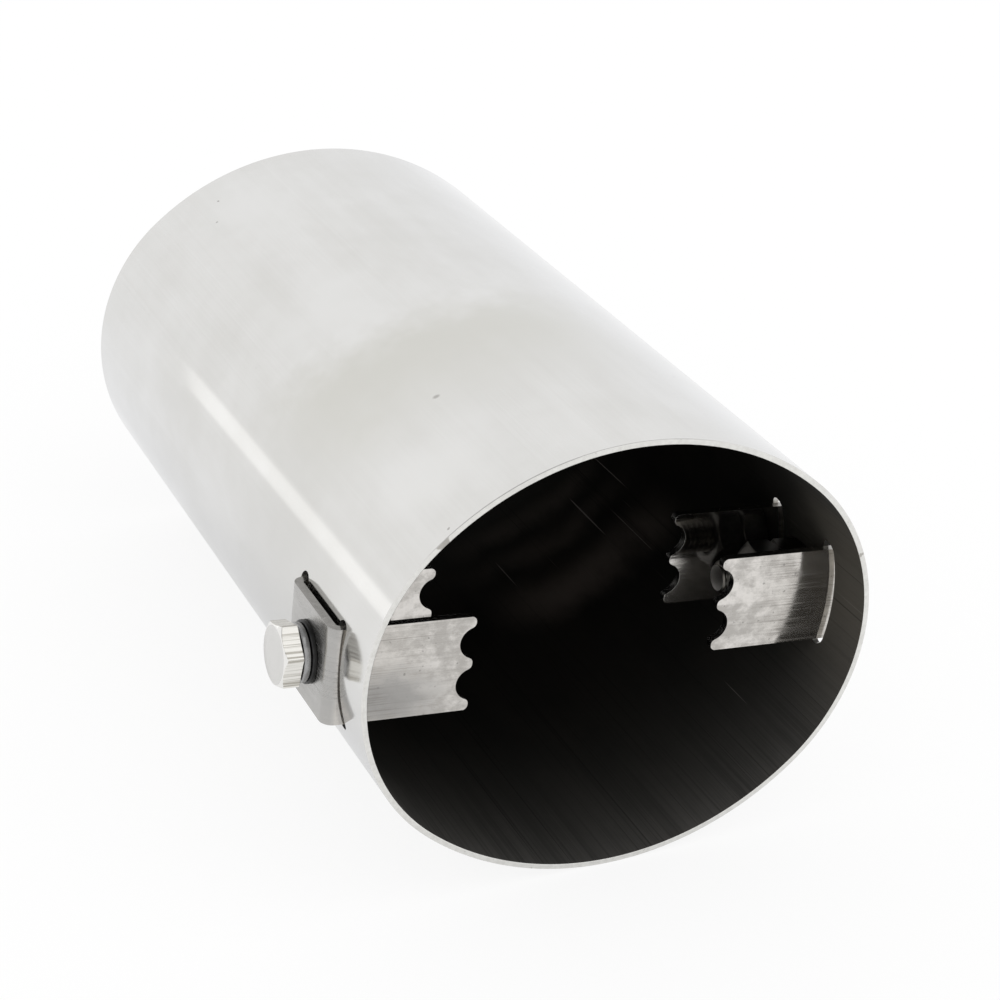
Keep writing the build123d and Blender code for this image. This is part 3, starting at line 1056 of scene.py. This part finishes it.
print("a washer's section has", 4 * (SECTION_STEPS + 1), "points")

# %% Turn the flat washers and wind the spring washers
FLAT_WASHER_X = WEB_X + STRIP_THICKNESS / 2
FLAT_WASHER_RADIUS, FLAT_WASHER_THICKNESS = 5.2 * MM, 0.8 * MM
SPRING_WASHER_X = FLAT_WASHER_X + FLAT_WASHER_THICKNESS
SPRING_WASHER_RADIUS, SPRING_WASHER_THICKNESS = 4.9 * MM, 1.2 * MM
SPRING_WASHER_RISE, SPRING_WASHER_SPLIT = 0.2 * MM, 1.2 * MM
SPRING_WASHER_TURN = math.radians(200)
SPRING_WASHER_BORE = 3.05 * MM
SPLIT_SHARP = math.radians(50)
WASHER_STEPS = 96


def flat_washer(side):
    """Flat washer of one side, on the strip's web."""
    section = washer_section(BOLT_HOLE_RADIUS, FLAT_WASHER_RADIUS, FLAT_WASHER_X, FLAT_WASHER_THICKNESS)
    rows = [turned_section(section, 2 * math.pi * step / WASHER_STEPS) for step in range(WASHER_STEPS)]
    points, faces = skin_rows(rows, closed_rows=True)
    make_clamp_piece(
        "plain_ring", side, points, faces, [BLACK_WASHER], f"{side}_clamp", "flat_washer"
    )


def spring_washer(side):
    """Split spring washer of one side, on the flat washer."""
    section = washer_section(
        SPRING_WASHER_BORE, SPRING_WASHER_RADIUS, SPRING_WASHER_X, SPRING_WASHER_THICKNESS
    )
    middle = (SPRING_WASHER_BORE + SPRING_WASHER_RADIUS) / 2
    sweep = 2 * math.pi - SPRING_WASHER_SPLIT / middle
    rows = []
    for step in range(WASHER_STEPS + 1):
        share = step / WASHER_STEPS
        rows.append(turned_section(section, SPRING_WASHER_TURN + sweep * share, SPRING_WASHER_RISE * share))
    points, faces = skin_rows(rows)
    count = len(section)
    faces += [tuple(reversed(range(count))), tuple(range(len(points) - count, len(points)))]
    washer = make_clamp_piece(
        "split_ring", side, points, faces, [SPRING_STEEL], f"{side}_clamp", "spring_washer"
    )
    washer.data.set_sharp_from_angle(angle=SPLIT_SHARP)


for side in CLAMP_FRAMES:
    flat_washer(side)
    spring_washer(side)

# %% [markdown]
# ## Nuts on the inside
# Two nuts sit on each bolt inside the wall: the one that takes the pull, and one that locks it. Their dark
# colour paints the shade inside the tube. The rings of the bolt's head serve again, for the turned cone on
# both faces, and the bore opens with a small countersink. The wall curves away from a nut's flat face and
# the bolt leans, so the nut meets the wall at one edge. NUT_SEAT_X is where that happens along the bolt,
# as on the solids.

# %% Make the nuts
# The nuts' dark colour paints the shade inside the tube.
SHADED_NUT_STEEL = marked_steel(
    "dull_nut", 1100.0, dark=(0.035, 0.034, 0.033), light=(0.10, 0.097, 0.092), smoothest=0.25, spread=0.2
)
NUT_SEAT_X = 43.2146 * MM
NUT_HEIGHT = 5.0 * MM
NUT_GAP = 0.02 * MM
NUT_BORE = 3.05 * MM
COUNTERSINK = 0.4 * MM
NUT_TURN = 0.0


def hex_nut(name, side, place):
    """Nut of one side, the first or the second one inwards from the wall."""
    angles = ring_directions(NUT_TURN)
    low = NUT_SEAT_X - place * (NUT_HEIGHT + NUT_GAP)
    high = low + NUT_HEIGHT
    # Of a head's rings, a nut takes those from the end of its flats to the edge of its face
    upper = head_rings(low, NUT_HEIGHT, NUT_TURN, angles)[2:6]
    lower = [[Vector((low + high - p.x, p.y, p.z)) for p in row] for row in reversed(upper)]
    bore = [ring(high, NUT_BORE + COUNTERSINK, angles), ring(high - COUNTERSINK, NUT_BORE, angles)]
    bore += [ring(low + COUNTERSINK, NUT_BORE, angles), ring(low, NUT_BORE + COUNTERSINK, angles)]
    points, faces = skin_rows(lower + upper + bore, closed_rows=True)
    nut = make_clamp_piece(f"hex_{name}", side, points, faces, [SHADED_NUT_STEEL], "tube", name)
    nut.data.set_sharp_from_angle(angle=HEX_SHARP)


for side in CLAMP_FRAMES:
    hex_nut("clamp_nut", side, 1)
    hex_nut("lock_nut", side, 2)

# %% [markdown]
# ## Floor and room
# Metal shows its surroundings, so the room matters as much as the finish. It is plain white all round, and
# dimmer overhead in mirrors, which gives the top of the tube its grey. The floor is white as well. To the
# camera it is held near white, and in mirrors less so, while the rest of its brightness comes from the light
# that falls on it, so the tip keeps a soft shadow.

# %% Room
WHITE = (1.0, 1.0, 1.0, 1.0)
ROOM_LIGHT = 1.06
CEILING_DIM, CEILING_FROM, CEILING_TO = 0.5, 0.55, 0.8


def ray_kinds(finish):
    """1 for what the camera sees directly, and 1 for what it sees in a mirror or through glass."""
    kinds = ("Is Camera Ray", "Is Glossy Ray", "Is Transmission Ray")
    seen, mirrored, through = [finish.node("ShaderNodeLightPath", output=kind) for kind in kinds]
    return seen, mirrored.most(through)


def white_room():
    """World that is white to the camera, white with a dimmer ceiling in mirrors, and lights evenly."""
    room = Finish(bpy.context.scene.world or bpy.data.worlds.new("room"))
    bpy.context.scene.world = room.owner
    height = parts(room.node("ShaderNodeTexCoord", output="Generated"))[2]
    white = 1 - band(height, CEILING_FROM, CEILING_TO) * CEILING_DIM
    seen, mirrored = ray_kinds(room)
    strength = ROOM_LIGHT * (1 - seen - mirrored) + seen + white * mirrored
    light = room.node("ShaderNodeBackground", None, {"Color": WHITE, "Strength": strength})
    room.node("ShaderNodeOutputWorld", None, {"Surface": light})
    print("room has", len(room.tree.nodes), "nodes")


white_room()

# %% Floor
FLOOR_PAINT = (0.93, 0.93, 0.93, 1.0)
FLOOR_HALF = 3.0
SEEN_WHITE, MIRRORED_WHITE = 0.85, 0.5


def white_floor():
    """Large pale plane under the tip, held near white to the camera and less so in mirrors."""
    finish = Finish(bpy.data.materials.new("white_floor"))
    seen, mirrored = ray_kinds(finish)
    held = seen * SEEN_WHITE + mirrored * MIRRORED_WHITE
    paint = finish.node("ShaderNodeBsdfDiffuse", None, {"Color": FLOOR_PAINT})
    glow = finish.node("ShaderNodeEmission", None, {"Color": WHITE, "Strength": 1.0})
    mixed = finish.node("ShaderNodeMixShader", None, {0: held, 1: paint, 2: glow})
    finish.node("ShaderNodeOutputMaterial", None, {"Surface": mixed})
    mesh = bpy.data.meshes.new("floor")
    corners = [(x * FLOOR_HALF, y * FLOOR_HALF, 0.0) for x, y in ((-1, -1), (1, -1), (1, 1), (-1, 1))]
    mesh.from_pydata(corners, [], [(0, 1, 2, 3)])
    mesh.materials.append(finish.owner)
    floor = bpy.data.objects.new("floor", mesh)
    bpy.context.scene.collection.objects.link(floor)
    print("floor is", 2 * FLOOR_HALF, "m wide")


white_floor()

# %% [markdown]
# ## Lamps and camera
# A large soft lamp stands in front and high up. A small slanting strip stands behind to the left: its mirror
# image is the bright streak along the side of the tube, which starts part of the way along and runs to the
# inlet. Neither lamp shows to the camera itself. The camera stands where the photograph was taken from: its
# place and its directions were fitted to the rim, the outline and the legs.

# %% Soft lamps
def soft_lamp(name, place, along, width, height, radiance):
    """Rectangular lamp whose width runs in one direction and whose face is turned towards the tip."""
    data = bpy.data.lights.new(name, "AREA")
    data.shape, data.size, data.size_y = "RECTANGLE", width, height
    data.energy = radiance * math.pi * width * height
    lamp = bpy.data.objects.new(name, data)
    bpy.context.scene.collection.objects.link(lamp)
    side, away = along.normalized(), place - Vector((0.0, 0.0, AXIS_HEIGHT))
    back = (away - away.dot(side) * side).normalized()
    turn = Matrix((side, back.cross(side), back)).transposed().to_4x4()
    lamp.matrix_world = Matrix.Translation(place) @ turn
    lamp.visible_camera = False
    print("lamp", name, "of", round(data.energy, 4), "W")


SOFTBOX_PLACE = Vector((0.70, -0.72, 1.60))
SOFTBOX_ALONG = Vector((1.0, 0.0, 0.0))
SOFTBOX_SIZE = 1.0
STREAK_FRONT = Vector((-0.1304, 0.0420, 0.0567))
STREAK_BACK = Vector((-0.1124, 0.1559, 0.0461))
STREAK_HEIGHT = 17.0 * MM
SOFTBOX_RADIANCE, STREAK_RADIANCE = 0.6, 0.26

streak_run, streak_middle = STREAK_BACK - STREAK_FRONT, (STREAK_FRONT + STREAK_BACK) / 2
soft_lamp("front_softbox", SOFTBOX_PLACE, SOFTBOX_ALONG, SOFTBOX_SIZE, SOFTBOX_SIZE, SOFTBOX_RADIANCE)
soft_lamp("streak_strip", streak_middle, streak_run, streak_run.length, STREAK_HEIGHT, STREAK_RADIANCE)

# %% Camera
CAMERA_PLACE = Vector((-0.1619, -0.3815, 0.2348))
CAMERA_RIGHT = Vector((0.917, -0.397, 0.034))
CAMERA_FORWARD = Vector((0.371, 0.819, -0.438))
SENSOR_WIDTH = 36.0
FOCAL_LENGTH = 89.46
CLIP_START = 0.01

forward = CAMERA_FORWARD.normalized()
right = (CAMERA_RIGHT - CAMERA_RIGHT.dot(forward) * forward).normalized()
up = right.cross(forward)
camera = bpy.data.objects.new("camera", bpy.data.cameras.new("camera"))
camera.data.sensor_width, camera.data.lens = SENSOR_WIDTH, FOCAL_LENGTH
camera.data.clip_start = CLIP_START
camera.matrix_world = Matrix.Translation(CAMERA_PLACE) @ Matrix((right, up, -forward)).transposed().to_4x4()
bpy.context.scene.collection.objects.link(camera)
bpy.context.scene.camera = camera
bpy.context.scene.view_settings.view_transform = "Standard"
print("camera looks along", [round(v, 3) for v in forward])
